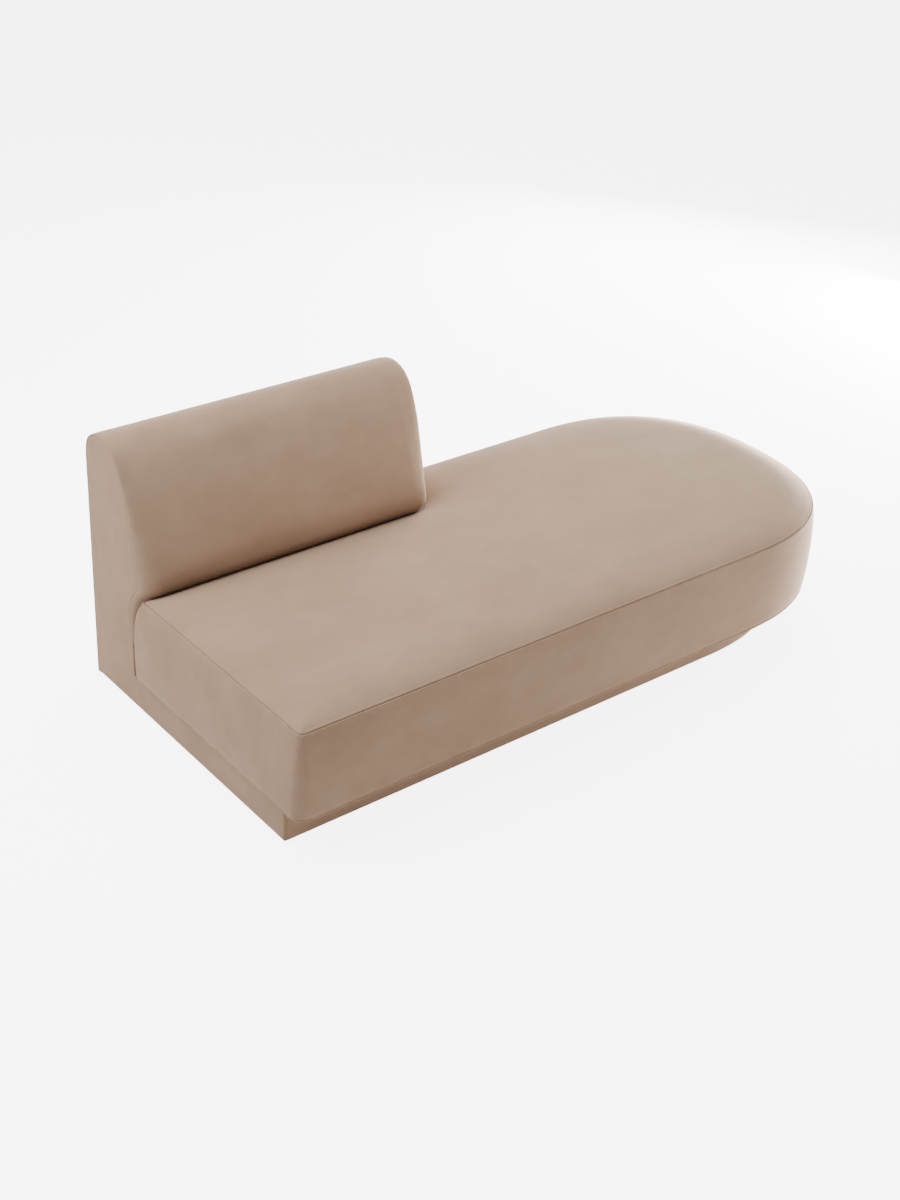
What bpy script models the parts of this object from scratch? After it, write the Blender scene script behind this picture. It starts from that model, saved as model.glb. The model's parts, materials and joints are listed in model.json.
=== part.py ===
"""Upholstered daybed: a low chaise module with a half-length backrest and a rounded end.

An L-shaped plywood shell (plinth and backrest in one) carries a thick seat unit with a D-shaped end.
The seat unit is a box frame with webbing, felt, foam and a fibre wrap under a boxed cover.

Datum frame while drawing, in metres: x runs along the length from the flat left end, y runs from the
front of the seat to the back, z is up from the floor. ORIGIN moves it to the centre of the footprint.
"""

import math

import bmesh
import bpy
from mathutils import Vector

# ---- Driving dimensions, in metres ----
DEPTH = 1.013  # front of the seat to the rear of the backrest
BACK_LENGTH = 0.958  # flat left end to the right end of the backrest
BACK_HEIGHT = 0.777  # top of the ridge above the floor
BACK_FOOT = 0.223  # thickness of the backrest behind the seat unit
SEAT_REACH = 2.100  # flat left end to the tip of the rounded end
SEAT_REAR_SETBACK = 0.041  # past the backrest, the seat stops this far short of the rear
SEAT_PROUD = 0.012  # the seat's left side stands out this far past the flat end
END_LENGTH = 0.525  # stretch over which the rounded end closes
END_POWER = 2.40  # 2 is an ellipse; more is fuller at the corners
SEAM_Z = 0.367  # height of the seam round the top panel
CROWN = 0.021  # rise of the top panel above its seam
LIP_Z = 0.104  # underside of the seat unit
PLINTH_SETBACK = 0.076  # seat front to plinth front
PLINTH_END_LENGTH = 0.500  # stretch over which the plinth's rounded end closes
PLINTH_END_SETBACK = 0.097  # tip of the seat to tip of the plinth

# ---- Corner radii ----
SEAT_CORNER = 0.030
LIP_CORNER = 0.044
NOTCH_CORNER = 0.040
PLINTH_CORNER = 0.010
SMALLEST_CORNER = 0.002
# At its left and right ends the backrest's face turns back by DEPTH over LENGTH, and its top drops by TOP.
# Below the seat it turns back by LOW, and near the ridge by HIGH as a share of DEPTH.
END_ROUND_DEPTH = (0.040, 0.046)
END_ROUND_LENGTH = (0.050, 0.064)
END_ROUND_TOP = (0.003, 0.010)
END_ROUND_LOW = (0.012, 0.046)
END_ROUND_HIGH = 0.35

# ---- Materials' thicknesses ----
GAP = 0.0003  # between touching pieces
CREVICE = 0.0015  # between the seat unit and the backrest
FABRIC = 0.002
PLY = 0.018
RAIL = 0.022
BOARD = 0.012
HARDBOARD = 0.003
TUCK_BOARD = 0.006
END_PAD = 0.0084
STRAP = 0.0018
FELT = 0.0024
DUST_SHEET = 0.0008
FIBRE_SIDE = 0.018  # the fibre wrap starts this far below the seam
COVER_CLEARANCE = 0.002  # foam to the inside of its cover
SIDE_FOAM = 0.041  # outer foam band on the seat frame, measured to the widest bulge
FOAM_DEPTH = 0.138  # seam down to the top of the rails
FLANGE = 0.100  # how far the covers turn under the seat

# ---- Glides, blocks, straps and screws ----
GLIDE_RADIUS = 0.018
GLIDE_HEIGHT = 0.0040
GLIDE_SHANK = 0.0025
GLIDE_SHANK_TOP = 0.024
BLOCK_SIDE = 0.060
BLOCK_TOP_Z = 0.092
STRAP_COUNT = 8
STRAP_WIDTH = 0.080
STRAP_MARGIN = 0.130  # first and last strap centre to the ends of the frame
SCREW_HEAD = 0.0048
SCREW_SHANK = 0.0025
SCREW_LENGTH = 0.055
SCREW_HEAD_DEPTH = 0.004
SCREW_CLEARANCE = 0.0004
SCREW_INSET = 0.112  # from the sides of the seat frame
RIB_FOAM = 0.080  # foam in front of the backrest ribs
RIB_TOP_FOAM = 0.062  # foam above the backrest's top board
CROSS_RAIL_DROP = 0.030  # the seat's cross rails stay this far below the webbing

# ---- Derived levels and lines ----
SKIN = FABRIC + GAP
END_BUILD = SKIN + END_PAD + GAP  # flat end to the outer face of the nearest rib
DUST_Z = GLIDE_HEIGHT + GAP
PLINTH_COVER_Z = DUST_Z + DUST_SHEET + GAP
PLINTH_RAIL_Z = PLINTH_COVER_Z + FABRIC + GAP
SEAT_WIDTH = DEPTH - SEAT_REAR_SETBACK
PLINTH_TOP_Z = LIP_Z - GAP
BOARD_Z = LIP_Z + SKIN
RAIL_TOP_Z = SEAM_Z - FOAM_DEPTH
FOAM_CORE_TOP = SEAM_Z - FIBRE_SIDE
BACK_RISE = BACK_HEIGHT - SEAM_Z
SEAT_RAIL_Z = BOARD_Z + BOARD + GAP
FELT_Z = RAIL_TOP_Z + GAP + STRAP + GAP
CORE_Z = FELT_Z + FELT + GAP
SEAT_REAR = DEPTH - BACK_FOOT - CREVICE  # rear of the seat in front of the backrest
NOTCH_X = BACK_LENGTH + CREVICE
END_CENTRE_X = SEAT_REACH - END_LENGTH
PLINTH_TIP = SEAT_REACH - PLINTH_END_SETBACK
PLINTH_CENTRE_X = PLINTH_TIP - PLINTH_END_LENGTH
PLINTH_REAR = SEAT_WIDTH - PLINTH_SETBACK  # rear of the plinth past the backrest
RAIL_OUT = SIDE_FOAM + GAP * 2  # seat outline to the outer face of the seat rails
RAIL_IN = RAIL_OUT + RAIL
ORIGIN = Vector((-(SEAT_REACH - SEAT_PROUD) / 2, -DEPTH / 2, 0))

# Side profile of the seat unit: how far the wall sits inside its widest outline, from lip to seam
SEAT_BULGE = [(LIP_Z + share * (SEAM_Z - LIP_Z), inset) for share, inset in (
    (0.0, 0.006), (0.095, 0.002), (0.265, 0.0002), (0.455, 0.0), (0.675, 0.0015), (0.85, 0.0055),
    (0.945, 0.010), (1.0, 0.013))]
# Crown of the top panel: inset from the seam and share of CROWN
SEAT_CROWN = [(0.0, 0.0), (0.008, 0.26), (0.022, 0.50), (0.048, 0.74), (0.090, 0.92), (0.150, 1.0)]


# ---- Curves ----
def lerp_table(table, at):
    """Straight interpolation in (at, value) pairs, held flat past both ends."""
    if at <= table[0][0]:
        return table[0][1]
    for (a, va), (b, vb) in zip(table, table[1:]):
        if at <= b:
            return va + (vb - va) * (at - a) / (b - a)
    return table[-1][1]


def arc(cx, cy, radius, start, end, steps):
    """Points on a circle from start to end degrees."""
    angles = [math.radians(start + (end - start) * i / steps) for i in range(steps + 1)]
    return [(cx + radius * math.cos(a), cy + radius * math.sin(a)) for a in angles]


def catmull(points, per_span):
    """A smooth curve through the points."""
    ends = [points[0]] + list(points) + [points[-1]]
    made = []
    for p0, p1, p2, p3 in zip(ends, ends[1:], ends[2:], ends[3:]):
        for i in range(per_span):
            t = i / per_span
            made.append(tuple(
                0.5 * (2 * b + (c - a) * t + (2 * a - 5 * b + 4 * c - d) * t**2 + (3 * b - 3 * c + d - a) * t**3)
                for a, b, c, d in zip(p0, p1, p2, p3)))
    return made + [points[-1]]


def end_curve(centre_x, mid_y, length, half_width, steps=24):
    """The rounded end, from its front tangent round to its rear tangent."""
    made = []
    for i in range(steps + 1):
        a = math.radians(-90 + 180 * i / steps)
        c, s = max(math.cos(a), 0.0), math.sin(a)
        x = centre_x + length * c ** (2 / END_POWER)
        made.append((x, mid_y + math.copysign(half_width * abs(s) ** (2 / END_POWER), s)))
    return made


def corner(radius):
    return max(radius, SMALLEST_CORNER)


def seat_outline(inset, rear_inset=None, rounding=SEAT_CORNER):
    """Plan of the seat unit, anticlockwise from the front left corner. rear_inset is for the side that
    faces the backrest."""
    rear_inset = inset if rear_inset is None else rear_inset
    left, front = -SEAT_PROUD + inset, inset
    rear, notch_x, far = SEAT_REAR - rear_inset, NOTCH_X + inset, SEAT_WIDTH - inset
    r = corner(rounding - inset)
    q = corner(NOTCH_CORNER - inset)
    n = NOTCH_CORNER + inset
    return (arc(left + r, front + r, r, 180, 270, 4)
            + end_curve(END_CENTRE_X, SEAT_WIDTH / 2, END_LENGTH - inset, SEAT_WIDTH / 2 - inset)
            + arc(notch_x + q, far - q, q, 90, 180, 4)
            + arc(notch_x - n, rear + n, n, 0, -90, 5)
            + arc(left + r, rear - r, r, 90, 180, 4))


def rear_inset(z):
    """How far the seat's rear leans away from the backrest's foot at height z."""
    return max(0.0, DEPTH - BACK_FOOT - contact_y(z))


def plinth_path(inset):
    """Plan of the plinth's fabric-covered sides: front left corner, front, rounded end, rear, and the
    step out to the back of the shell. It is open along the flat left end and behind the backrest."""
    front, rear, step = PLINTH_SETBACK + inset, PLINTH_REAR - inset, BACK_LENGTH - inset
    r = corner(PLINTH_CORNER - inset)
    s = PLINTH_CORNER + inset
    return (arc(SKIN + inset + r, front + r, r, 180, 270, 4)
            + end_curve(PLINTH_CENTRE_X, SEAT_WIDTH / 2, PLINTH_END_LENGTH - inset,
                        SEAT_WIDTH / 2 - PLINTH_SETBACK - inset)
            + arc(step + s, rear + s, s, 270, 180, 3)
            + [(step, DEPTH - SKIN)])


# Backrest profile: distance in front of the rear plane, and height, from the tuck up the face, over
# the ridge and down to where the rear face turns straight
BACK_PROFILE = [(BACK_FOOT, LIP_Z), (BACK_FOOT, SEAM_Z - 0.140), (BACK_FOOT + 0.007, SEAM_Z - 0.072),
                (BACK_FOOT + 0.023, SEAM_Z - 0.028), (BACK_FOOT + 0.047, SEAM_Z + 0.001),
                (BACK_FOOT + 0.068, SEAM_Z + 0.073 * BACK_RISE), (BACK_FOOT + 0.058, SEAM_Z + 0.207 * BACK_RISE),
                (BACK_FOOT + 0.030, SEAM_Z + 0.415 * BACK_RISE), (BACK_FOOT - 0.008, SEAM_Z + 0.659 * BACK_RISE),
                (BACK_FOOT - 0.052, BACK_HEIGHT - 0.056), (BACK_FOOT - 0.092, BACK_HEIGHT - 0.016),
                (BACK_FOOT - 0.138, BACK_HEIGHT), (0.040, BACK_HEIGHT - 0.010),
                (0.010, BACK_HEIGHT - 0.038), (0.0, BACK_HEIGHT - 0.085)]
RIDGE = next(i for i, point in enumerate(BACK_PROFILE) if point[1] == BACK_HEIGHT)
PROFILE_STEPS = 3


def back_curve(low=0.0, turn=0.0, top=0.0, more=0.0):
    """The profile in (y, z): its face turned back by low below the seat and by turn above it, its ridge
    lowered by top, and all of it moved in by more."""
    turned = [(SEAM_Z - 0.140, low), (SEAM_Z, turn), (SEAM_Z + 0.220 * BACK_RISE, turn),
              (SEAM_Z + 0.659 * BACK_RISE, turn * END_ROUND_HIGH), (BACK_HEIGHT, 0.0)]
    curve = catmull([(DEPTH - d, z) for d, z in BACK_PROFILE], PROFILE_STEPS)
    made = []
    for i, (y, z) in enumerate(curve):
        before, after = curve[max(i - 1, 0)], curve[min(i + 1, len(curve) - 1)]
        along = Vector((after[0] - before[0], after[1] - before[1])).normalized()
        out = Vector((-along.y, along.x))
        move = more + top * out.y**2
        back = lerp_table(turned, z) if i < RIDGE * PROFILE_STEPS else 0.0
        made.append((y - out.x * move + back, z - out.y * move))
    return made


def contact_y(z):
    """Depth of the backrest's face behind the seat unit, up to its widest point."""
    face = [(h, DEPTH - d) for d, h in BACK_PROFILE[:6]]
    curve = catmull(face, PROFILE_STEPS)
    return lerp_table(curve, z)


def first_above(curve, z):
    """Index of the curve's first point at or above height z."""
    return next(i for i, point in enumerate(curve) if point[1] >= z)


def cut_at(curve, z):
    """The curve from height z on its front, kept to the same number of points whatever its inset."""
    start = first_above(BACK_CENTRELINE, z)
    before, after = curve[start - 1], curve[start]
    share = (z - before[1]) / (after[1] - before[1])
    return [(before[0] + (after[0] - before[0]) * share, z)] + curve[start:]


BACK_CENTRELINE = back_curve()


def end_rounding(x):
    """How far the backrest turns in at x: its face below the seat, its face above it, and its ridge."""
    end = 0 if x < BACK_LENGTH / 2 else 1
    distance = (x, BACK_LENGTH - x)[end]
    share = min(1.0, distance / END_ROUND_LENGTH[end])
    turn = 1 - math.sqrt(max(0.0, 1 - (1 - share) ** 2))
    return tuple(sizes[end] * turn for sizes in (END_ROUND_LOW, END_ROUND_DEPTH, END_ROUND_TOP))


def back_stations(margin):
    """Positions along the backrest, closer together where its ends round off."""
    left, right = (sorted([END_BUILD] + [length * (1 - math.cos(math.radians(a))) for a in (0, 22, 50, 70, 90)])
                   for length in END_ROUND_LENGTH)
    return ([x for x in left if x >= margin]
            + [BACK_LENGTH - x for x in reversed(right) if x >= margin])


# ---- Mesh helpers ----
def make_object(name, bm, paint):
    """A closed mesh object from bm, with its faces turned out and moved to the part's origin."""
    bmesh.ops.remove_doubles(bm, verts=bm.verts, dist=1e-6)
    bmesh.ops.recalc_face_normals(bm, faces=bm.faces)
    bmesh.ops.translate(bm, verts=bm.verts, vec=ORIGIN)
    mesh = bpy.data.meshes.new(name)
    bm.to_mesh(mesh)
    bm.free()
    mesh.materials.append(MATERIALS[paint])
    made = bpy.data.objects.new(name, mesh)
    bpy.context.scene.collection.objects.link(made)
    mesh.shade_smooth()
    mesh.set_sharp_from_angle(angle=math.radians(35))
    return made


def bridge(bm, first, second, closed=True):
    """Quads between two rows of as many vertices."""
    count = len(first)
    for i in range(count if closed else count - 1):
        j = (i + 1) % count
        bm.faces.new((first[i], first[j], second[j], second[i]))


def loft(name, rings, paint, around=False):
    """A solid through rings of 3-D points. The first and last rings are capped, or joined if around."""
    bm = bmesh.new()
    rows = [[bm.verts.new(point) for point in ring] for ring in rings]
    for first, second in zip(rows, rows[1:]):
        bridge(bm, first, second)
    if around:
        bridge(bm, rows[-1], rows[0])
    else:
        bm.faces.new(rows[0])
        bm.faces.new(rows[-1])
    return make_object(name, bm, paint)


def flat(outline, z):
    return [(x, y, z) for x, y in outline]


def prism(name, outline, bottom, top, paint):
    """A flat board cut to an outline in plan."""
    return loft(name, [flat(outline, bottom), flat(outline, top)], paint)


def upright(name, outline, left, right, paint):
    """A board cut to an outline in (y, z), standing across the length."""
    return loft(name, [[(x, y, z) for y, z in outline] for x in (left, right)], paint)


def box(name, x, y, z, paint):
    """A block from pairs of limits."""
    return prism(name, [(x[0], y[0]), (x[1], y[0]), (x[1], y[1]), (x[0], y[1])], z[0], z[1], paint)


def turned(name, x, y, profile, paint, steps=12):
    """A round piece about an upright axis, from (radius, z) pairs."""
    rings = [flat(arc(x, y, radius, 0, 360 * (steps - 1) / steps, steps - 1), z) for radius, z in profile]
    return loft(name, rings, paint)


def cut(target, cutter):
    """Takes cutter's shape out of target. The cutter itself isn't part of the daybed."""
    cutter.hide_render = True
    cutter.display_type = 'WIRE'
    modifier = target.modifiers.new(cutter.name, 'BOOLEAN')
    modifier.operation = 'DIFFERENCE'
    modifier.object = cutter


# ---- Seat unit ----
def seat_ring(z, more=0.0, lift=0.0):
    """The seat's wall at height z, moved in by more and up by lift."""
    rounding = lerp_table([(LIP_Z, LIP_CORNER), (LIP_Z + 0.120, SEAT_CORNER)], z)
    return flat(seat_outline(lerp_table(SEAT_BULGE, z) + more, rear_inset(z) + more, rounding), z + lift)


def seat_base_board():
    inset = SIDE_FOAM / 2
    return prism('seat_base_board', seat_outline(inset), BOARD_Z, BOARD_Z + BOARD, 'plywood')


def seat_rails():
    """Five straight rails and one bent rail, butted at the corners."""
    z = (SEAT_RAIL_Z, RAIL_TOP_Z)
    left = -SEAT_PROUD + RAIL_OUT
    notch = NOTCH_X + RAIL_OUT
    rear = (SEAT_REAR - RAIL_IN, SEAT_REAR - RAIL_OUT)
    far = (SEAT_WIDTH - RAIL_IN, SEAT_WIDTH - RAIL_OUT)
    front = (RAIL_OUT, RAIL_IN)
    end_x = END_CENTRE_X - GAP
    box('seat_front_rail', (left, end_x), front, z, 'softwood')
    box('seat_left_rail', (left, left + RAIL), (front[1] + GAP, rear[0] - GAP), z, 'softwood')
    box('seat_rear_rail', (left, notch + RAIL), rear, z, 'softwood')
    box('seat_notch_rail', (notch, notch + RAIL), (rear[1] + GAP, far[0] - GAP), z, 'softwood')
    box('seat_far_rail', (notch, end_x), far, z, 'softwood')
    outer, inner = (end_curve(END_CENTRE_X, SEAT_WIDTH / 2, END_LENGTH - d, SEAT_WIDTH / 2 - d)
                    for d in (RAIL_OUT, RAIL_IN))
    prism('seat_bent_rail', outer + inner[::-1], z[0], z[1], 'plywood')
    low = (SEAT_RAIL_Z, RAIL_TOP_Z - CROSS_RAIL_DROP)
    middle = (NOTCH_X + left) / 2
    box('seat_cross_rail_1', (middle, middle + RAIL), (front[1] + GAP, rear[0] - GAP), low, 'softwood')
    beyond = (notch + END_CENTRE_X) / 2
    box('seat_cross_rail_2', (beyond, beyond + RAIL), (front[1] + GAP, far[0] - GAP), low, 'softwood')


def strap_limits(x):
    """Front and rear ends of a strap whose side furthest along the seat is at x."""
    inset = RAIL_OUT + RAIL / 4
    half = SEAT_WIDTH / 2 - inset
    if x > END_CENTRE_X:
        share = (x - END_CENTRE_X) / (END_LENGTH - inset)
        half *= (1 - share**END_POWER) ** (1 / END_POWER)
    front = SEAT_WIDTH / 2 - half
    return front, SEAT_WIDTH / 2 + half


def seat_webbing():
    """Elastic straps from front to rear, lying on top of the rails."""
    start = -SEAT_PROUD + RAIL_OUT + STRAP_MARGIN
    pitch = (SEAT_REACH - RAIL_OUT - STRAP_MARGIN - start) / (STRAP_COUNT - 1)
    z = (RAIL_TOP_Z + GAP, RAIL_TOP_Z + GAP + STRAP)
    for i in range(STRAP_COUNT):
        x = start + i * pitch
        front, rear = strap_limits(x + STRAP_WIDTH / 2)
        if x - STRAP_WIDTH / 2 < NOTCH_X + RAIL_OUT:
            rear = SEAT_REAR - RAIL_OUT - RAIL / 4
        box(f'webbing_strap_{i + 1}', (x - STRAP_WIDTH / 2, x + STRAP_WIDTH / 2), (front, rear), z, 'webbing')


def seat_padding():
    """Felt over the straps, a foam band round the frame, the foam core and the crowned fibre wrap."""
    prism('seat_felt', seat_outline(RAIL_OUT + GAP), FELT_Z, FELT_Z + FELT, 'felt')
    inside = FABRIC + COVER_CLEARANCE
    low, high = BOARD_Z + BOARD + GAP, CORE_Z - GAP
    heights = [low] + [z for z, _ in SEAT_BULGE if low + PLY < z < high - PLY] + [high]
    band = [seat_ring(z, inside) for z in heights]
    band += [flat(seat_outline(SIDE_FOAM), z) for z in (heights[-1], heights[0])]
    loft('seat_foam_band', band, 'foam', around=True)
    core = [seat_ring(z, inside) for z in (CORE_Z, SEAM_Z - 0.089, SEAM_Z - 0.040, FOAM_CORE_TOP)]
    loft('seat_foam_core', core, 'foam')
    bottom = FOAM_CORE_TOP + GAP
    seam = [seat_ring(z, inside) for z in (bottom, SEAM_Z - FABRIC - COVER_CLEARANCE / 2)]
    loft('seat_fibre_wrap', seam + crown_rings(inside, -FABRIC - COVER_CLEARANCE / 2)[1:], 'fibre')


def crown_rings(more, drop):
    """Rings of the top panel from its seam to its highest flat, moved in by more and by drop in height."""
    inset = lerp_table(SEAT_BULGE, SEAM_Z) + more
    rear = rear_inset(SEAM_Z) + more
    return [flat(seat_outline(inset + d, rear + d), SEAM_Z + share * CROWN + drop) for d, share in SEAT_CROWN]


def seat_covers():
    """The boxed side band, turned under the seat, and the crowned top panel that is sewn to it."""
    levels = [z for z, _ in SEAT_BULGE][1:-1]
    top = SEAM_Z - GAP - FABRIC
    outside = [seat_ring(LIP_Z)] + [seat_ring(z) for z in levels if z < top] + [seat_ring(top)]
    inner = [seat_ring(top, FABRIC)] + [seat_ring(z, FABRIC) for z in reversed(levels) if z < top]
    under = [seat_ring(LIP_Z, FABRIC, FABRIC), flat(seat_outline(FLANGE), LIP_Z + FABRIC),
             flat(seat_outline(FLANGE), LIP_Z)]
    loft('seat_side_cover', outside + inner + under, 'velvet', around=True)
    upper, lower = crown_rings(0.0, 0.0), crown_rings(0.0, -FABRIC)
    loft('seat_top_cover', lower[::-1] + upper, 'velvet')


# ---- Shell: plinth and backrest ----
def rib_outline():
    """An L-shaped rib in (y, z): the plinth's cross member and the backrest's upright in one piece."""
    front = PLINTH_SETBACK + SKIN + PLY + GAP
    face = DEPTH - BACK_FOOT + TUCK_BOARD * 2.5
    rear = DEPTH - SKIN - PLY - GAP
    knee = SEAM_Z + 0.083 * BACK_RISE
    top = BACK_HEIGHT - RIB_TOP_FOAM - PLY - GAP
    lean = cut_at(BACK_CENTRELINE, top)[0][0]
    return [(front, PLINTH_RAIL_Z), (rear, PLINTH_RAIL_Z), (rear, top), (lean + RIB_FOAM, top),
            (face, knee), (face, PLINTH_TOP_Z), (front, PLINTH_TOP_Z)]


def shell_ribs():
    """Three L-shaped plywood ribs. Returns their positions along the length."""
    right = BACK_LENGTH - END_BUILD - PLY
    places = {'left_rib': END_BUILD, 'middle_rib': (END_BUILD + right) / 2, 'right_rib': right}
    for name, x in places.items():
        upright(name, rib_outline(), x, x + PLY, 'plywood')
    return places


def plinth_rails():
    """The plinth's front, rear and cross rails, and the bent rail of its rounded end."""
    z = (PLINTH_RAIL_Z, PLINTH_TOP_Z)
    end_x = PLINTH_CENTRE_X - GAP
    front = (PLINTH_SETBACK + SKIN, PLINTH_SETBACK + SKIN + PLY)
    far = (PLINTH_REAR - SKIN - PLY, PLINTH_REAR - SKIN)
    box('plinth_front_rail', (END_BUILD, end_x), front, z, 'plywood')
    box('plinth_back_rail', (END_BUILD, BACK_LENGTH - SKIN), (DEPTH - SKIN - PLY, DEPTH - SKIN), z, 'plywood')
    box('plinth_far_rail', (BACK_LENGTH - END_BUILD + GAP, end_x), far, z, 'plywood')
    box('plinth_cross_rail', (end_x - PLY, end_x), (front[1] + GAP, far[0] - GAP), z, 'plywood')
    outer, inner = (end_curve(PLINTH_CENTRE_X, SEAT_WIDTH / 2, PLINTH_END_LENGTH - d,
                              SEAT_WIDTH / 2 - PLINTH_SETBACK - d) for d in (SKIN, SKIN + PLY))
    prism('plinth_bent_rail', outer + inner[::-1], z[0], z[1], 'plywood')
    return front[1] + GAP, far[0] - GAP, end_x


def glides_and_blocks(ribs, front, far, end_x):
    """Hardwood blocks in the plinth's corners, each with a nylon glide nailed up into it."""
    half = BLOCK_SIDE / 2
    back = DEPTH - SKIN - PLY - GAP
    in_left = ribs['left_rib'] + PLY + GAP + half
    in_right = ribs['right_rib'] - GAP - half
    in_end = PLINTH_TIP - SKIN - PLY - BLOCK_SIDE
    places = [(in_left, front + half), (in_left, back - half), (in_right, back - half),
              (end_x - PLY - GAP - half, front + half), (end_x - PLY - GAP - half, far - half),
              (in_end, SEAT_WIDTH / 2)]
    for i, (x, y) in enumerate(places, 1):
        block = box(f'plinth_block_{i}', (x - half, x + half), (y - half, y + half),
                    (PLINTH_RAIL_Z, BLOCK_TOP_Z), 'hardwood')
        profile = [(GLIDE_RADIUS * 0.86, 0), (GLIDE_RADIUS, GLIDE_HEIGHT * 0.3), (GLIDE_RADIUS, GLIDE_HEIGHT),
                   (GLIDE_SHANK, GLIDE_HEIGHT), (GLIDE_SHANK, GLIDE_SHANK_TOP - GLIDE_SHANK), (0.0003, GLIDE_SHANK_TOP)]
        turned(f'glide_{i}', x, y, profile, 'nylon')
        hole = GLIDE_SHANK + SCREW_CLEARANCE
        cutter = turned(f'glide_hole_{i}', x, y, [(hole, 0), (hole, GLIDE_SHANK_TOP + SCREW_CLEARANCE)], 'nylon')
        cut(block, cutter)
        cut(bpy.data.objects['dust_cover'], cutter)


def dust_cover():
    """Thin black sheet stapled under the plinth, short of its edges."""
    margin = 0.012
    path = plinth_path(margin)
    rear = DEPTH - margin
    outline = path[4:-1] + [(BACK_LENGTH - margin, rear), (margin, rear), (margin, PLINTH_SETBACK + margin)]
    prism('dust_cover', outline, DUST_Z, DUST_Z + DUST_SHEET, 'cambric')


def seat_screws(ribs, end_x):
    """Countersunk screws down through the seat's base board into the ribs and the cross rail."""
    rib, rail = ribs['middle_rib'] + PLY / 2, end_x - PLY / 2
    front = PLINTH_SETBACK + SCREW_INSET
    places = [(rib, front, 'middle_rib'), (rib, SEAT_REAR - SCREW_INSET, 'middle_rib'),
              (rail, front, 'plinth_cross_rail'), (rail, PLINTH_REAR - SCREW_INSET, 'plinth_cross_rail')]
    top = BOARD_Z + BOARD - GAP
    for i, (x, y, below) in enumerate(places, 1):
        shapes = []
        for grow in (0.0, SCREW_CLEARANCE):
            lift = GAP * 2 if grow else 0.0
            shapes.append([(SCREW_HEAD + grow, top + lift), (SCREW_HEAD + grow, top - 0.0006 - grow / 2),
                           (SCREW_SHANK + grow, top - SCREW_HEAD_DEPTH - grow / 2),
                           (SCREW_SHANK + grow, top - SCREW_LENGTH + 0.006),
                           (0.0003 + grow, top - SCREW_LENGTH - grow)])
        turned(f'seat_screw_{i}', x, y, shapes[0], 'steel')
        cutter = turned(f'screw_hole_{i}', x, y, shapes[1], 'steel')
        cut(bpy.data.objects['seat_base_board'], cutter)
        cut(bpy.data.objects[below], cutter)


def back_boards(ribs):
    """Boards that tie the ribs together: top board, hardboard front and rear, and the tuck board."""
    outline = rib_outline()
    (rear, top), (lean, _), (face, knee) = outline[2], outline[3], outline[4]
    left, right = ribs['left_rib'], ribs['right_rib'] + PLY
    box('back_top_board', (left, right), (lean, rear), (top + GAP, top + GAP + PLY), 'plywood')
    box('back_rear_panel', (left, right), (rear + GAP, rear + GAP + HARDBOARD),
        (PLINTH_TOP_Z + GAP, top + PLY), 'hardboard')
    slope = Vector((lean - face, top - knee)).normalized()
    out = Vector((-slope.y, slope.x)) * (HARDBOARD + GAP)
    near = Vector((-slope.y, slope.x)) * GAP
    low, high = Vector((face, knee)) + slope * 0.004, Vector((lean, top)) - slope * 0.004
    panel = [low + near, high + near, high + out, low + out]
    upright('back_front_panel', [tuple(p) for p in panel], left, right, 'hardboard')
    box('back_tuck_board', (left + PLY / 2, right - PLY / 2), (face - GAP - TUCK_BOARD, face - GAP),
        (PLINTH_TOP_Z + GAP, SEAM_Z - 0.035), 'plywood')


def back_section(x, more, start):
    """The backrest's outer curve at station x, moved in by more, from height start on its face."""
    curve = cut_at(back_curve(*end_rounding(x), more), start)
    return [(x, y, z) for y, z in curve]


def back_foam(ribs):
    """Contoured foam from the tuck up the face and over the top board."""
    outline = rib_outline()
    (rear, top), (lean, _), (face, knee) = outline[2], outline[3], outline[4]
    board = HARDBOARD + GAP * 3
    start = SEAM_Z - 0.030
    crest = top + PLY + GAP * 3
    inner = [(rear + HARDBOARD + GAP * 2, crest), (lean - board, crest), (lean - board, top),
             (face - board * 1.2, knee + 0.004), (face - board * 1.2, start)]
    rings = []
    for x in back_stations(END_BUILD):
        outer = back_section(x, FABRIC + COVER_CLEARANCE / 2, start)
        rings.append(outer + [(x, y, z) for y, z in inner])
    loft('back_foam', rings, 'foam')


def back_wadding(ribs):
    """Fibre pad over the rear hardboard."""
    left, right = ribs['left_rib'], ribs['right_rib'] + PLY
    rear = rib_outline()[2][0] + GAP + HARDBOARD + GAP
    box('back_wadding', (left, right), (rear, DEPTH - FABRIC - COVER_CLEARANCE),
        (PLINTH_TOP_Z + GAP, BACK_HEIGHT - 0.120), 'fibre')


def end_outline(x, more, plinth_front=None):
    """Outline in (y, z) of an end panel at x. With plinth_front it runs forward along the plinth too."""
    upper = [point for point in back_curve(*end_rounding(x), more) if point[1] > LIP_Z + PLY]
    rear, foot = DEPTH - more, upper[0][0]
    if plinth_front is None:
        return [(foot, LIP_Z)] + upper + [(rear, LIP_Z)]
    return ([(plinth_front, PLINTH_COVER_Z), (plinth_front, PLINTH_TOP_Z), (foot, PLINTH_TOP_Z)]
            + upper + [(rear, PLINTH_COVER_Z)])


def end_panels():
    """Foam pads and fabric panels on both ends of the backrest. The left ones run down over the plinth."""
    pad = SKIN + END_PAD
    corner_end = PLINTH_SETBACK + PLINTH_CORNER + GAP
    upright('left_end_pad', end_outline(0.0, SKIN + GAP * 3, corner_end), SKIN, pad, 'foam')
    upright('left_end_cover', end_outline(0.0, SKIN + GAP * 2, PLINTH_SETBACK + SKIN), 0.0, FABRIC, 'velvet')
    right = BACK_LENGTH
    upright('right_end_pad', end_outline(right, SKIN + GAP * 3), right - pad, right - SKIN, 'foam')
    upright('right_end_cover', end_outline(right, SKIN + GAP * 2), right - FABRIC, right, 'velvet')


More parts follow.
